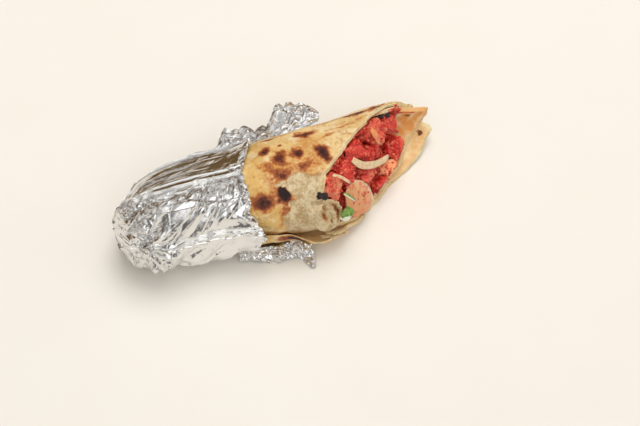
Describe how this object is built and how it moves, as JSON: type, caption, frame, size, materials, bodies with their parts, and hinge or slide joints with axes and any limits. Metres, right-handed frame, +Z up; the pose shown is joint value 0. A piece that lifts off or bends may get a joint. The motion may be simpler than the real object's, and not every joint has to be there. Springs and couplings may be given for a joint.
{
  "type": "paratha wrap half",
  "caption": "Half of a griddled flatbread wrap cut on the slant, filled with red spiced chicken and onion, its lower part in crumpled foil.",
  "frame": {"origin": "on the surface it rests on, below the middle of its bounding box", "axes": "+X runs along the roll from the closed foil end to the slanting cut, +Y to the back, +Z up"},
  "size_m": [0.1862, 0.089, 0.0527],
  "materials": {
    "griddled_bread": "dry griddled flatbread, golden with dark char spots and pale torn patches",
    "crumpled_foil": "crumpled bright kitchen foil",
    "red_masala": "moist chopped red spice paste",
    "tikka_chicken": "moist red-orange spiced chicken",
    "onion": "moist translucent cooked onion",
    "green_herb": "fresh chopped green leaf with a pale stem"
  },
  "bodies": {
    "root": {"paratha": "griddled_bread", "foil_wrap": "crumpled_foil", "masala_filling": "red_masala", "chicken_01": "tikka_chicken", "chicken_02": "tikka_chicken", "chicken_03": "tikka_chicken", "chicken_04": "tikka_chicken", "chicken_05": "tikka_chicken", "chicken_06": "tikka_chicken", "chicken_07": "tikka_chicken", "chicken_08": "tikka_chicken", "chicken_09": "tikka_chicken", "chicken_10": "tikka_chicken", "onion_strip_01": "onion", "onion_strip_02": "onion", "onion_strip_03": "onion", "onion_petal_01": "onion", "herb_leaf_01": "green_herb", "herb_leaf_02": "green_herb"}
  },
  "joints": []
}
